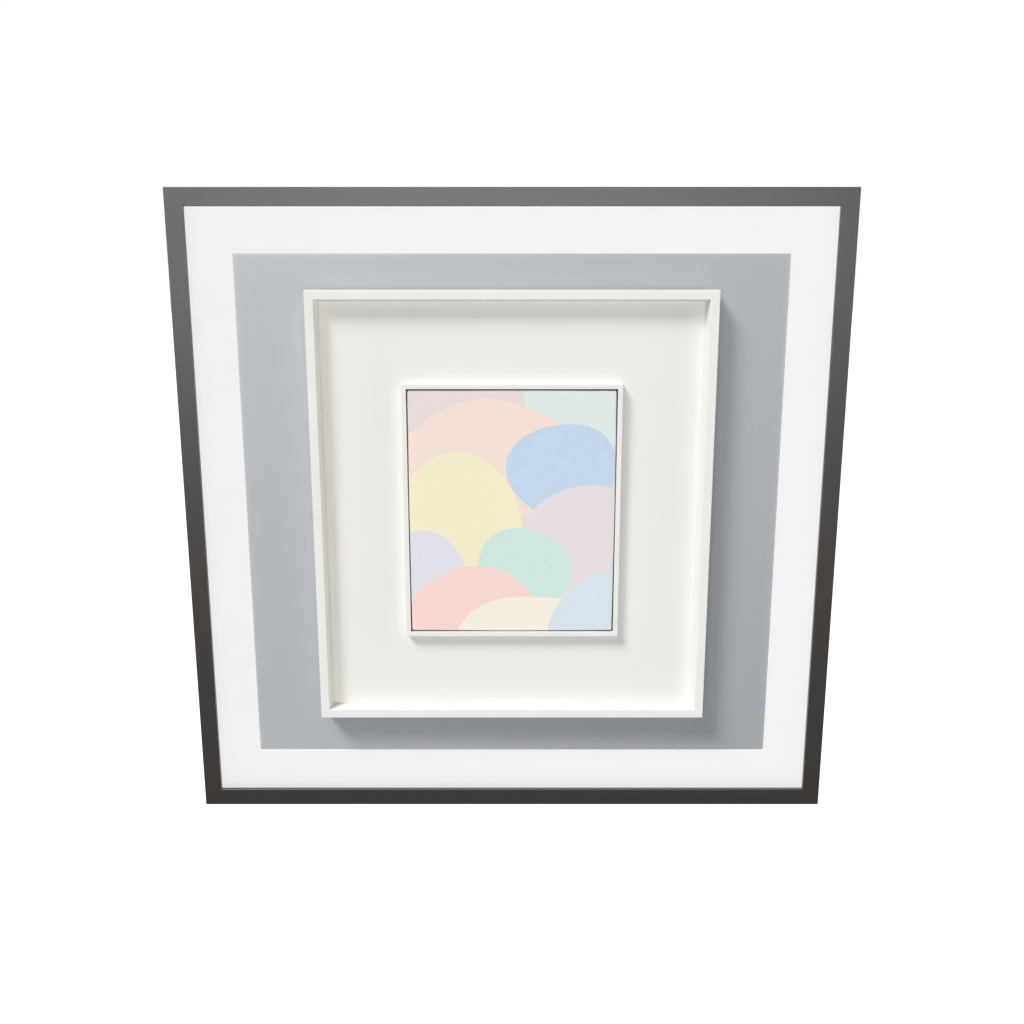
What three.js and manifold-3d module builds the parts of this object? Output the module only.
// Floating frame for a wall: a dark box moulding round a window mat and a grey
// ground board, a white tray frame that stands off the ground, and in the tray a
// small canvas that floats inside a thin white strip frame.
// Millimetres, +Z up, +X to the right from the front, the front faces -Y.
// The origin is on the wall plane, at the middle of the outer frame.
// Depths are counted forward from the wall plane, so depth d lies at y = -d.

import * as THREE from 'three';
import { mergeVertices } from 'three/addons/utils/BufferGeometryUtils.js';
import Module from 'manifold-3d';

// ---------------------------------------------------------------- driving sizes

const GAP = 0.3; // between pieces that rest on each other
const MITRE_GAP = 0.2; // open joint line at a mitred corner
const HOLE_FIT = 0.3; // round a screw in its hole
const CUT_PAST = 1; // how far a cutter runs on past a face

const FRAME_W = 750;
const FRAME_H = 727;
const FRAME_DEPTH = 41.5;
const RAIL_FACE = 20;
const RAIL_WALL = 12; // wood left beside the rabbet
const LIP = 5.5; // thickness of the lip in front of the mat
const ARRIS = 0.5; // small chamfer on the moulding's front edges

const BOARD_FIT = 1; // play of the boards in the rabbet, each side
const MAT_THICK = 2;
const MAT_BORDER = 49.5; // mat that shows inside the lip
const GROUND_THICK = 5;

const BACK_RECESS = 7; // strainer's back, in from the wall plane
const STRAINER_BAR = 24;
const BACK_BOARD = 3;
const REBATE = 6; // ledge that carries the back boards
const BACK_BOARD_FIT = 0.5;
const BRACE_H = 60;
const BRACE_SCREW_LONG = 60;
const SIDE_SCREW_BITE = 8; // strainer screw in the moulding
const SIDE_SCREW_DEPTH = 20;
const SIDE_SCREW_ALONG = { top: 150, right: 110, bottom: 150, left: -110 };

const TRAY_W = 451;
const TRAY_H = 496.5;
const TRAY_RISE = 7; // tray's middle above the frame's middle
const TRAY_FACE = 10;
const TRAY_SPLAY = 2.5; // how far the inner wall leans in towards the panel
const TRAY_RECESS = 15.5;
const TRAY_PROUD = 26; // tray's front above the ground board
const TRAY_FLOAT = 4; // open gap between tray and ground board
const TRAY_PANEL = 4;
const TRAY_WALL = 6.5; // wood left beside the tray's rear rabbet
const BATTEN_W = 380;
const BATTEN_H = 24;
const BATTEN_RISE = 150;
const TRAY_SCREW_IN = 30; // from a batten's end
const SPIKE_SHORT = 1.1; // wood left in front of a screw's tip

const FLOATER_W = 246.5;
const FLOATER_H = 294.5;
const FLOATER_FACE = 5.5;
const FLOATER_PROUD = 10; // above the tray's panel
const PICTURE_DROP = 1.2; // picture's middle below the tray's middle
const LINER = 1.2; // dark card under the canvas
const FLOAT_GAP = 1.5; // dark gap between canvas and strip frame
const CANVAS_SINK = 1.5; // canvas face below the strip frame's face
const CANVAS_THICK = 0.6;
const CANVAS_CORNER = 2.5;
const CANVAS_HEM = 4; // depth of the canvas turned down round the stretcher
const STRETCHER_BAR = 22;

const SCREW_D = 3;
const SCREW_HEAD_D = 7;
const PAN_HEAD = 1.9;
const PAN_CROWN = 0.8; // rounding of the pan head's top edge
const CSK_HEAD = 2;
const CSK_RIM = 0.3;
const DRIVE_W = 1;
const DRIVE_L = 4;
const DRIVE_DEEP = 1;

const BUTTON_THICK = 2;
const BUTTON_W = 12;
const BUTTON_REACH = 22; // from the pivot to the tip
const BUTTON_TIP = 0.7; // tip radius as a share of the pivot end's
const BUTTON_X = 200;
const BUTTON_SET_OUT = 0.5; // pivot outside the middle of the bar's flat
const HARDWARE_SPIKE = 17; // screws of the buttons and hangers

const RING_WIRE = 2.4;
const RING_IN = 13; // inside width and length of the D
const RING_STEPS = 30;
const RING_SIDES = 10;
const STRAP_THICK = 1.2;
const STRAP_W = 12;
const STRAP_LEN = 34;
const STRAP_SCREW_DROP = 24; // screw below the ring's pin
const STRAP_ROLL_END = Math.PI / 3; // where the rolled barrel meets the strap
const RING_CLEAR = 1.1; // from the ring to the moulding beside it
const HANGER_RISE = 170; // ring's pin above the frame's middle

const NAIL_LEG = 7;
const NAIL_THICK = 0.8;
const NAIL_LONG = 10;
const NAIL_FIT = 0.25;

// ------------------------------------------------------------- stack of depths

const matFront = FRAME_DEPTH - LIP - GAP;
const matBack = matFront - MAT_THICK;
const groundFront = matBack - GAP;
const groundBack = groundFront - GROUND_THICK;
const strainerFront = groundBack - GAP;
const ledge = BACK_RECESS + BACK_BOARD + GAP;

const trayFront = groundFront + TRAY_PROUD;
const trayBack = groundFront + TRAY_FLOAT;
const panelFront = trayFront - TRAY_RECESS;
const panelBack = panelFront - TRAY_PANEL;

const floaterFront = panelFront + FLOATER_PROUD;
const floaterBack = panelFront + GAP;
const linerFront = floaterBack + LINER;
const stretcherBack = linerFront + GAP;
const canvasFront = floaterFront - CANVAS_SINK;
const stretcherFront = canvasFront - CANVAS_THICK - GAP;

const boardW = FRAME_W - 2 * (RAIL_WALL + BOARD_FIT);
const boardH = FRAME_H - 2 * (RAIL_WALL + BOARD_FIT);
const pictureZ = TRAY_RISE - PICTURE_DROP;
const trayWallIn = TRAY_FACE + TRAY_SPLAY;

// ------------------------------------------------------------------- materials

const finish = (color, roughness, metalness = 0) =>
  new THREE.MeshStandardMaterial({ color, roughness, metalness });
const stainedWood = () => finish(0x3b3632, 0.45);
const bareWood = () => finish(0xcdb48c, 0.7);
const whiteWood = () => finish(0xeeeeea, 0.5);
const whiteBoard = () => finish(0xefefed, 0.8);
const greyBoard = () => finish(0xadb2b6, 0.85);
const brownBoard = () => finish(0x8a6a48, 0.9);
const darkCard = () => finish(0x3a2a22, 0.9);
const cloth = () => finish(0xe9dcc8, 0.9);
const plated = () => finish(0xb9b7ae, 0.35, 0.9);
const brassed = () => finish(0xb08d4a, 0.35, 0.9);

// -------------------------------------------------------------- solids, helpers

const wasm = await Module();
wasm.setup();

// Closed three.js geometry with its shared vertices merged, and without the
// empty triangles where an arc's two ends meet.
function welded(geometry) {
  geometry.deleteAttribute('normal');
  geometry.deleteAttribute('uv');
  const g = mergeVertices(geometry, 1e-4);
  const corners = Array.from(g.index.array);
  const kept = [];
  for (let i = 0; i < corners.length; i += 3) {
    const [a, b, c] = corners.slice(i, i + 3);
    if (a !== b && b !== c && c !== a) kept.push(a, b, c);
  }
  g.setIndex(kept);
  return g;
}

function toSolid(geometry) {
  const g = welded(geometry.clone());
  return new wasm.Manifold(new wasm.Mesh({
    numProp: 3,
    vertProperties: new Float32Array(g.attributes.position.array),
    triVerts: new Uint32Array(g.index.array),
  }));
}

function toGeometry(solid) {
  const mesh = solid.getMesh();
  const g = new THREE.BufferGeometry();
  g.setAttribute('position', new THREE.BufferAttribute(mesh.vertProperties, 3));
  g.setIndex(new THREE.BufferAttribute(mesh.triVerts, 1));
  return g;
}

const cut = (geometry, cutters) =>
  toGeometry(cutters.reduce((solid, c) => solid.subtract(toSolid(c)), toSolid(geometry)));
const join = (a, b) => toGeometry(toSolid(a).add(toSolid(b)));

const part = new THREE.Group();

function add(name, geometry, material) {
  const mesh = new THREE.Mesh(welded(geometry), material);
  mesh.name = name;
  part.add(mesh);
  return mesh;
}

const outline = (points) => new THREE.Shape(points.map(([a, b]) => new THREE.Vector2(a, b)));

// A flat shape drawn in X and Z, standing between two depths.
function slab(shape, back, front, curveSegments = 12) {
  const options = { depth: front - back, bevelEnabled: false, curveSegments };
  const g = new THREE.ExtrudeGeometry(shape, options);
  return g.rotateX(Math.PI / 2).translate(0, -back, 0);
}

function rectangle(x0, x1, z0, z1) {
  return outline([[x0, z0], [x1, z0], [x1, z1], [x0, z1]]);
}

function roundedRectangle(w, h, r) {
  const s = new THREE.Shape();
  s.absarc(w / 2 - r, h / 2 - r, r, 0, Math.PI / 2);
  s.absarc(-w / 2 + r, h / 2 - r, r, Math.PI / 2, Math.PI);
  s.absarc(-w / 2 + r, -h / 2 + r, r, Math.PI, 1.5 * Math.PI);
  s.absarc(w / 2 - r, -h / 2 + r, r, 1.5 * Math.PI, 2 * Math.PI);
  return s;
}

// A bar along X. Its section is drawn as [z, depth] points.
function barAlongX(section, length) {
  const shape = outline(section.map(([z, d]) => [-d, z]));
  const g = new THREE.ExtrudeGeometry(shape, { depth: length, bevelEnabled: false });
  const axes = new THREE.Matrix4().makeBasis(
    new THREE.Vector3(0, 1, 0), new THREE.Vector3(0, 0, 1), new THREE.Vector3(1, 0, 0));
  return g.applyMatrix4(axes).translate(-length / 2, 0, 0);
}

// One mitred rail, as the top rail of a frame whose half height is halfSpan.
// The section is drawn as [inset from the outer edge, depth] points.
function mitredRail(section, length, halfSpan) {
  const g = barAlongX(section.map(([inset, d]) => [halfSpan - inset, d]), length);
  const p = g.attributes.position;
  for (let i = 0; i < p.count; i += 1) {
    const inset = halfSpan - p.getZ(i);
    const end = length / 2 - inset - MITRE_GAP / Math.SQRT2;
    p.setX(i, Math.sign(p.getX(i)) * end);
  }
  return welded(g);
}

const SIDES = [
  { side: 'top', turn: 0 },
  { side: 'right', turn: Math.PI / 2 },
  { side: 'bottom', turn: Math.PI },
  { side: 'left', turn: -Math.PI / 2 },
];

// Four mitred rails. cutters(side, turn) may give solids to cut from a rail,
// placed where they lie in the finished frame.
function mitredFrame(name, w, h, middleZ, section, material, cutters = () => []) {
  for (const { side, turn } of SIDES) {
    const upright = side === 'left' || side === 'right';
    const length = upright ? h : w;
    const halfSpan = upright ? w / 2 : h / 2;
    const rail = mitredRail(section, length, halfSpan);
    rail.rotateY(turn).translate(0, 0, middleZ);
    const holes = cutters(side, turn);
    add(`${name}_${side}`, holes.length ? cut(rail, holes) : rail, material());
  }
}

// ---------------------------------------------------------------------- screws

// Radius and length along the screw, from the head's outer end at 0.
function screwProfile(length, countersunk) {
  const r = SCREW_D / 2;
  const head = SCREW_HEAD_D / 2;
  const point = [[r, length - r], [0, length]];
  if (countersunk) return [[0, 0], [head, 0], [head, CSK_RIM], [r, CSK_HEAD], ...point];
  return [[0, 0], [head - PAN_CROWN, 0], [head, PAN_CROWN], [head, PAN_HEAD], [r, PAN_HEAD],
    ...point];
}

// A turned solid along +Y, its head at y = 0.
const TURNED_SEGMENTS = 16;
function turned(profile) {
  const points = profile.map(([r, y]) => new THREE.Vector2(r, y));
  return new THREE.LatheGeometry(points, TURNED_SEGMENTS);
}

function screwSolid(length, countersunk) {
  const body = turned(screwProfile(length, countersunk));
  const slotA = new THREE.BoxGeometry(DRIVE_L, 2 * DRIVE_DEEP, DRIVE_W);
  const slotB = new THREE.BoxGeometry(DRIVE_W, 2 * DRIVE_DEEP, DRIVE_L);
  return cut(body, [slotA, slotB]);
}

// A screw's hole: the shank's bore, and for a countersunk screw its seat,
// drawn on past the face.
function screwHole(length, countersunk) {
  const r = SCREW_D / 2 + HOLE_FIT;
  const head = SCREW_HEAD_D / 2 + HOLE_FIT;
  const tip = length + HOLE_FIT;
  if (countersunk) {
    return turned([[0, -CUT_PAST], [head, -CUT_PAST], [head, CSK_RIM],
      [r, CSK_HEAD + HOLE_FIT], [r, tip], [0, tip]]);
  }
  return turned([[0, 0], [r, 0], [r, tip], [0, tip]]);
}

// Which way a screw runs from its head: to the front, or outwards at one side.
const FORWARD = new THREE.Matrix4().makeRotationZ(Math.PI);
function sideways(turn) {
  return new THREE.Matrix4().makeRotationY(turn).multiply(
    new THREE.Matrix4().makeRotationX(Math.PI / 2));
}

function placed(geometry, direction, x, depth, z) {
  return geometry.applyMatrix4(direction).translate(x, -depth, z);
}

// ------------------------------------------------------- dark outer box moulding

const nailInset = RAIL_WALL / 2 - NAIL_THICK / 2;

// Angle-shaped nail in the top right corner: its knee on the mitre line.
function cornerNail(grow) {
  const x = FRAME_W / 2 - nailInset + grow;
  const z = FRAME_H / 2 - nailInset + grow;
  const t = NAIL_THICK + 2 * grow;
  const leg = NAIL_LEG + 2 * grow;
  const angle = outline([[x, z], [x - leg, z], [x - leg, z - t], [x - t, z - t],
    [x - t, z - leg], [x, z - leg]]);
  return slab(angle, grow > 0 ? -CUT_PAST : 0, NAIL_LONG + grow, 1);
}

const NAILS = [
  { corner: 'top_right', sx: 1, sz: 1 },
  { corner: 'bottom_right', sx: 1, sz: -1 },
  { corner: 'bottom_left', sx: -1, sz: -1 },
  { corner: 'top_left', sx: -1, sz: 1 },
];

// Mirror a solid in X and Z, turning its faces back outwards where needed.
function mirrored(geometry, sx, sz) {
  const g = welded(geometry);
  g.scale(sx, 1, sz);
  if (sx * sz < 0) {
    const order = g.index.array;
    for (let i = 0; i < order.length; i += 3) {
      [order[i], order[i + 1]] = [order[i + 1], order[i]];
    }
  }
  return g;
}

// Screws that hold the strainer in the rabbet, one through each bar.
const sideScrewLong = STRAINER_BAR + BOARD_FIT + SIDE_SCREW_BITE;

function sideScrewPlace(side, turn) {
  const upright = side === 'left' || side === 'right';
  const half = (upright ? boardW : boardH) / 2 - STRAINER_BAR;
  const at = new THREE.Vector3(SIDE_SCREW_ALONG[side], 0, half);
  at.applyMatrix4(new THREE.Matrix4().makeRotationY(turn));
  return at;
}

function sideScrew(solid, side, turn) {
  const at = sideScrewPlace(side, turn);
  return placed(solid, sideways(turn), at.x, SIDE_SCREW_DEPTH, at.z);
}

const mouldingSection = [
  [0, 0], [0, FRAME_DEPTH - ARRIS], [ARRIS, FRAME_DEPTH], [RAIL_FACE - ARRIS, FRAME_DEPTH],
  [RAIL_FACE, FRAME_DEPTH - ARRIS], [RAIL_FACE, FRAME_DEPTH - LIP],
  [RAIL_WALL, FRAME_DEPTH - LIP], [RAIL_WALL, 0],
];
mitredFrame('outer_rail', FRAME_W, FRAME_H, 0, mouldingSection, stainedWood, (side, turn) => {
  const nails = NAILS.filter(({ corner }) => corner.includes(side));
  const slots = nails.map(({ sx, sz }) => mirrored(cornerNail(NAIL_FIT), sx, sz));
  return [...slots, sideScrew(screwHole(sideScrewLong, true), side, turn)];
});
for (const { corner, sx, sz } of NAILS) {
  add(`corner_nail_${corner}`, mirrored(cornerNail(0), sx, sz), plated());
}

// ------------------------------------------------------ window mat, ground board

const windowHalfW = FRAME_W / 2 - RAIL_FACE - MAT_BORDER;
const windowHalfH = FRAME_H / 2 - RAIL_FACE - MAT_BORDER;

// The window is cut square through the board.
function windowMat() {
  const sheet = rectangle(-boardW / 2, boardW / 2, -boardH / 2, boardH / 2);
  sheet.holes.push(outline([[-windowHalfW, -windowHalfH], [-windowHalfW, windowHalfH],
    [windowHalfW, windowHalfH], [windowHalfW, -windowHalfH]]));
  return slab(sheet, matBack, matFront);
}
add('window_mat', windowMat(), whiteBoard());

const BATTENS = [
  { name: 'upper', z: TRAY_RISE + BATTEN_RISE },
  { name: 'lower', z: TRAY_RISE - BATTEN_RISE },
];
const BATTEN_ENDS = [
  { name: 'left', x: -BATTEN_W / 2 + TRAY_SCREW_IN },
  { name: 'right', x: BATTEN_W / 2 - TRAY_SCREW_IN },
];
const traySeat = groundBack - GAP - PAN_HEAD;
const traySpike = panelFront - SPIKE_SHORT - traySeat;

const trayScrewPlaces = BATTENS.flatMap((b) => BATTEN_ENDS.map((e) => (
  { name: `${b.name}_${e.name}`, x: e.x, z: b.z })));
const trayHoles = () => trayScrewPlaces.map(({ x, z }) =>
  placed(screwHole(traySpike, false), FORWARD, x, traySeat, z));

const groundSheet = rectangle(-boardW / 2, boardW / 2, -boardH / 2, boardH / 2);
add('ground_board', cut(slab(groundSheet, groundBack, groundFront), trayHoles()), greyBoard());

// ----------------------------------------------------- strainer and cross brace

const flatBar = STRAINER_BAR - REBATE;
const buttonZ = boardH / 2 - flatBar / 2 + BUTTON_SET_OUT;
const buttonBack = BACK_RECESS - GAP - BUTTON_THICK;
const buttonSeat = buttonBack - GAP - PAN_HEAD;
const BUTTONS = [
  { name: 'upper_left', x: -BUTTON_X, up: 1 },
  { name: 'upper_right', x: BUTTON_X, up: 1 },
  { name: 'lower_left', x: -BUTTON_X, up: -1 },
  { name: 'lower_right', x: BUTTON_X, up: -1 },
];

const hangerX = FRAME_W / 2 - RAIL_WALL - RING_CLEAR - RING_IN / 2 - RING_WIRE;
const strapBack = BACK_RECESS - GAP - STRAP_THICK;
const strapSeat = strapBack - GAP - PAN_HEAD;
const HANGERS = [{ name: 'left', x: -hangerX }, { name: 'right', x: hangerX }];

const braceLong = boardW - 2 * (STRAINER_BAR + GAP);
const braceScrewDepth = (ledge + strainerFront) / 2;
const BRACE_ENDS = [
  { name: 'left', turn: Math.PI / 2, x: -boardW / 2 },
  { name: 'right', turn: -Math.PI / 2, x: boardW / 2 },
];
const braceScrew = (solid, { turn, x }) => placed(solid, sideways(turn), x, braceScrewDepth, 0);

const strainerSection = [
  [0, BACK_RECESS], [0, strainerFront], [STRAINER_BAR, strainerFront], [STRAINER_BAR, ledge],
  [STRAINER_BAR - REBATE, ledge], [STRAINER_BAR - REBATE, BACK_RECESS],
];
mitredFrame('strainer', boardW, boardH, 0, strainerSection, bareWood, (side, turn) => {
  const buttons = BUTTONS.filter(({ up }) => side === (up > 0 ? 'top' : 'bottom'));
  const hangers = HANGERS.filter(({ name }) => name === side);
  const ends = BRACE_ENDS.filter(({ name }) => name === side);
  return [
    sideScrew(screwHole(sideScrewLong, true), side, turn),
    ...buttons.map(({ x, up }) =>
      placed(screwHole(HARDWARE_SPIKE, false), FORWARD, x, buttonSeat, up * buttonZ)),
    ...hangers.map(({ x }) => placed(screwHole(HARDWARE_SPIKE, false), FORWARD, x, strapSeat,
      HANGER_RISE - STRAP_SCREW_DROP)),
    ...ends.map((end) => braceScrew(screwHole(BRACE_SCREW_LONG, true), end)),
  ];
});
for (const { side, turn } of SIDES) {
  const screw = screwSolid(sideScrewLong, true);
  add(`strainer_screw_${side}`, sideScrew(screw, side, turn), plated());
}

const grooveBack = BACK_RECESS - GAP;
const halfBrace = BRACE_H / 2;
const braceSection = [
  [halfBrace, 0], [halfBrace, grooveBack], [halfBrace - REBATE, grooveBack],
  [halfBrace - REBATE, ledge], [halfBrace, ledge], [halfBrace, strainerFront],
  [-halfBrace, strainerFront], [-halfBrace, ledge], [-halfBrace + REBATE, ledge],
  [-halfBrace + REBATE, grooveBack], [-halfBrace, grooveBack], [-halfBrace, 0],
];
const braceBores = BRACE_ENDS.map((end) => braceScrew(screwHole(BRACE_SCREW_LONG, true), end));
add('cross_brace', cut(barAlongX(braceSection, braceLong), braceBores), bareWood());
for (const end of BRACE_ENDS) {
  const screw = screwSolid(BRACE_SCREW_LONG, true);
  add(`brace_screw_${end.name}`, braceScrew(screw, end), plated());
}

// ---------------------------------------------- back boards and their turn buttons

const backHalfW = boardW / 2 - flatBar - BACK_BOARD_FIT;
const backTop = boardH / 2 - flatBar - BACK_BOARD_FIT;
const backFoot = halfBrace - REBATE + BACK_BOARD_FIT;
const backDepths = [BACK_RECESS, BACK_RECESS + BACK_BOARD];
add('back_board_upper', slab(rectangle(-backHalfW, backHalfW, backFoot, backTop), ...backDepths),
  brownBoard());
add('back_board_lower', slab(rectangle(-backHalfW, backHalfW, -backTop, -backFoot), ...backDepths),
  brownBoard());

// A flat pear shape: round at the pivot, narrower and round at the tip.
function turnButton(up) {
  const r = BUTTON_W / 2;
  const tip = r * BUTTON_TIP;
  const shape = new THREE.Shape();
  shape.absarc(0, 0, r, 0, Math.PI);
  shape.absarc(0, -BUTTON_REACH + tip, tip, Math.PI, 2 * Math.PI);
  const hole = new THREE.Path();
  hole.absarc(0, 0, SCREW_D / 2 + HOLE_FIT, 0, 2 * Math.PI, true);
  shape.holes.push(hole);
  const g = slab(shape, buttonBack, buttonBack + BUTTON_THICK, 8);
  return up > 0 ? g : g.rotateY(Math.PI);
}

for (const { name, x, up } of BUTTONS) {
  const z = up * buttonZ;
  add(`turn_button_${name}`, turnButton(up).translate(x, 0, z), brassed());
  const screw = placed(screwSolid(HARDWARE_SPIKE, false), FORWARD, x, buttonSeat, z);
  add(`turn_button_screw_${name}`, screw, brassed());
}

// ---------------------------------------------------------------- D-ring hangers

// The ring's pin runs through a rolled barrel at the strap's upper end.
const wireR = RING_WIRE / 2;
const barrelIn = wireR + GAP;
const barrelOut = barrelIn + STRAP_THICK;
const pinDepth = BACK_RECESS - GAP - barrelOut;

function strap() {
  const shape = new THREE.Shape();
  shape.absarc(-pinDepth, 0, barrelOut, Math.PI, -STRAP_ROLL_END, true);
  shape.lineTo(-pinDepth - barrelIn, -barrelOut);
  shape.lineTo(-pinDepth - barrelIn, -STRAP_LEN);
  shape.lineTo(-pinDepth - barrelOut, -STRAP_LEN);
  const bore = new THREE.Path();
  bore.absarc(-pinDepth, 0, barrelIn, 0, 2 * Math.PI);
  shape.holes.push(bore);
  const g = new THREE.ExtrudeGeometry(shape, { depth: STRAP_W, bevelEnabled: false,
    curveSegments: 10 });
  const axes = new THREE.Matrix4().makeBasis(
    new THREE.Vector3(0, 1, 0), new THREE.Vector3(0, 0, 1), new THREE.Vector3(1, 0, 0));
  return g.applyMatrix4(axes).translate(-STRAP_W / 2, 0, 0);
}

// The half round that closes the D, from its left leg to its right one.
class HalfRound extends THREE.Curve {
  constructor(radius, z) {
    super();
    this.radius = radius;
    this.z = z;
  }

  getPoint(t, target = new THREE.Vector3()) {
    const a = Math.PI * (1 + t);
    return target.set(this.radius * Math.cos(a), 0, this.z + this.radius * Math.sin(a));
  }
}

// The D hangs from its pin: two legs that meet in a half round below.
function dRing() {
  const half = (RING_IN + RING_WIRE) / 2;
  const drop = RING_IN - half + RING_WIRE;
  const leg = (x, from, to) => new THREE.LineCurve3(
    new THREE.Vector3(x, 0, from), new THREE.Vector3(x, 0, to));
  const loop = new THREE.CurvePath();
  loop.add(leg(-half, 0, -drop));
  loop.add(new HalfRound(half, -drop));
  loop.add(leg(half, -drop, 0));
  const wire = new THREE.Shape();
  wire.absarc(0, 0, wireR, 0, 2 * Math.PI);
  const bend = new THREE.ExtrudeGeometry(wire, { steps: RING_STEPS, extrudePath: loop,
    bevelEnabled: false, curveSegments: RING_SIDES / 2 });
  const pin = new THREE.CylinderGeometry(wireR, wireR, 2 * half + wireR, RING_SIDES);
  pin.rotateZ(Math.PI / 2);
  return join(bend, pin);
}

for (const { name, x } of HANGERS) {
  const strapHole = placed(screwHole(HARDWARE_SPIKE, false), FORWARD, 0, strapSeat, -STRAP_SCREW_DROP);
  const plate = cut(strap(), [strapHole]).translate(x, 0, HANGER_RISE);
  add(`d_ring_strap_${name}`, plate, plated());
  add(`d_ring_${name}`, dRing().translate(x, -pinDepth, HANGER_RISE), plated());
  const screw = placed(screwSolid(HARDWARE_SPIKE, false), FORWARD, x, strapSeat,
    HANGER_RISE - STRAP_SCREW_DROP);
  add(`d_ring_screw_${name}`, screw, plated());
}

// -------------------------------------------------------------- white tray frame

const traySection = [
  [0, trayBack], [0, trayFront - ARRIS], [ARRIS, trayFront], [TRAY_FACE, trayFront],
  [trayWallIn, panelFront + GAP], [TRAY_WALL, panelFront + GAP], [TRAY_WALL, trayBack],
];
mitredFrame('tray_rail', TRAY_W, TRAY_H, TRAY_RISE, traySection, whiteWood);

const stretcherW = FLOATER_W - 2 * (FLOATER_FACE + FLOAT_GAP + CANVAS_THICK + GAP);
const stretcherH = FLOATER_H - 2 * (FLOATER_FACE + FLOAT_GAP + CANVAS_THICK + GAP);
const pictureSpike = stretcherFront - SPIKE_SHORT - panelBack;
const PICTURE_SCREWS = [{ name: 'upper', up: 1 }, { name: 'lower', up: -1 }].map(
  ({ name, up }) => ({ name, z: pictureZ + up * (stretcherH - STRETCHER_BAR) / 2 }));
const pictureHoles = () => PICTURE_SCREWS.map(({ z }) =>
  placed(screwHole(pictureSpike, true), FORWARD, 0, panelBack, z));

const panelHalfW = TRAY_W / 2 - TRAY_WALL - GAP;
const panelHalfH = TRAY_H / 2 - TRAY_WALL - GAP;
const panelSheet = rectangle(-panelHalfW, panelHalfW, TRAY_RISE - panelHalfH,
  TRAY_RISE + panelHalfH);
add('tray_panel', cut(slab(panelSheet, panelBack, panelFront),
  [...trayHoles(), ...pictureHoles()]), whiteBoard());

for (const { name, z } of BATTENS) {
  const half = BATTEN_H / 2;
  const bar = slab(rectangle(-BATTEN_W / 2, BATTEN_W / 2, z - half, z + half),
    groundFront + GAP, panelBack - GAP);
  add(`tray_batten_${name}`, cut(bar, trayHoles()), bareWood());
}
for (const { name, x, z } of trayScrewPlaces) {
  const screw = placed(screwSolid(traySpike, false), FORWARD, x, traySeat, z);
  add(`tray_screw_${name}`, screw, plated());
}

// ---------------------------------------- thin strip frame and the canvas inside it

const floaterSection = [
  [0, floaterBack], [0, floaterFront - ARRIS], [ARRIS, floaterFront],
  [FLOATER_FACE, floaterFront], [FLOATER_FACE, floaterBack],
];
mitredFrame('strip_rail', FLOATER_W, FLOATER_H, pictureZ, floaterSection, whiteWood);

const linerHalfW = FLOATER_W / 2 - FLOATER_FACE - GAP;
const linerHalfH = FLOATER_H / 2 - FLOATER_FACE - GAP;
const linerSheet = rectangle(-linerHalfW, linerHalfW, pictureZ - linerHalfH,
  pictureZ + linerHalfH);
add('liner_card', cut(slab(linerSheet, floaterBack, linerFront), pictureHoles()), darkCard());

const stretcherSection = [
  [0, stretcherBack], [0, stretcherFront], [STRETCHER_BAR, stretcherFront],
  [STRETCHER_BAR, stretcherBack],
];
mitredFrame('stretcher_bar', stretcherW, stretcherH, pictureZ, stretcherSection, bareWood,
  (side) => (side === 'top' || side === 'bottom' ? pictureHoles() : []));
for (const { name, z } of PICTURE_SCREWS) {
  const screw = placed(screwSolid(pictureSpike, true), FORWARD, 0, panelBack, z);
  add(`picture_screw_${name}`, screw, plated());
}

// The cloth's face, with its edges turned down over the stretcher.
function canvasSolid() {
  const w = FLOATER_W - 2 * (FLOATER_FACE + FLOAT_GAP);
  const h = FLOATER_H - 2 * (FLOATER_FACE + FLOAT_GAP);
  const back = canvasFront - CANVAS_HEM;
  const outside = slab(roundedRectangle(w, h, CANVAS_CORNER), back, canvasFront, 4);
  const inW = w - 2 * CANVAS_THICK;
  const inH = h - 2 * CANVAS_THICK;
  const inside = slab(rectangle(-inW / 2, inW / 2, -inH / 2, inH / 2), back - 1,
    canvasFront - CANVAS_THICK);
  return cut(outside, [inside]).translate(0, 0, pictureZ);
}
add('canvas', canvasSolid(), cloth());

export default part;
